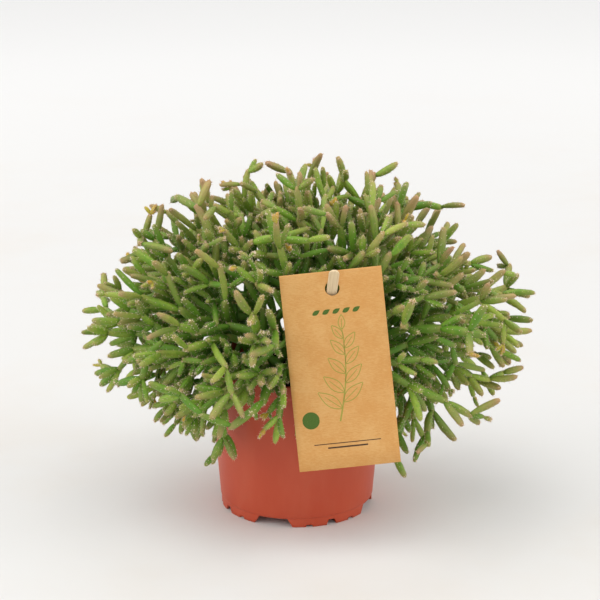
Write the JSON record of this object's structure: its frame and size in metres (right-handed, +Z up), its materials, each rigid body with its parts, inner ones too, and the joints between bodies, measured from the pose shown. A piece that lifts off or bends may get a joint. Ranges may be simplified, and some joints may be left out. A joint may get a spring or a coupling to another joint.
{
  "type": "potted rhipsalis cactus",
  "caption": "Bushy jointed rhipsalis cactus in a thin terracotta-coloured nursery pot of peat, with a plain kraft card on a wooden stick.",
  "frame": {"origin": "middle of the pot's foot, on the surface that it stands on", "axes": "+Z up, +X to the right and -Y towards the viewer in the picture, where the card hangs"},
  "size_m": [0.2916, 0.2421, 0.227],
  "materials": {
    "pot": "satin",
    "soil": "matte",
    "stem": "satin",
    "stick": "matte",
    "card": "matte"
  },
  "bodies": {
    "root": {"pot": "pot", "soil": "soil", "stem_01": "stem", "stem_02": "stem", "stem_03": "stem", "stem_04": "stem", "stem_05": "stem", "stem_06": "stem", "stem_07": "stem", "stem_08": "stem", "stem_09": "stem", "stem_10": "stem", "stem_11": "stem", "stem_12": "stem", "stem_13": "stem", "tag_stick": "stick", "tag_card": "card"}
  },
  "joints": []
}
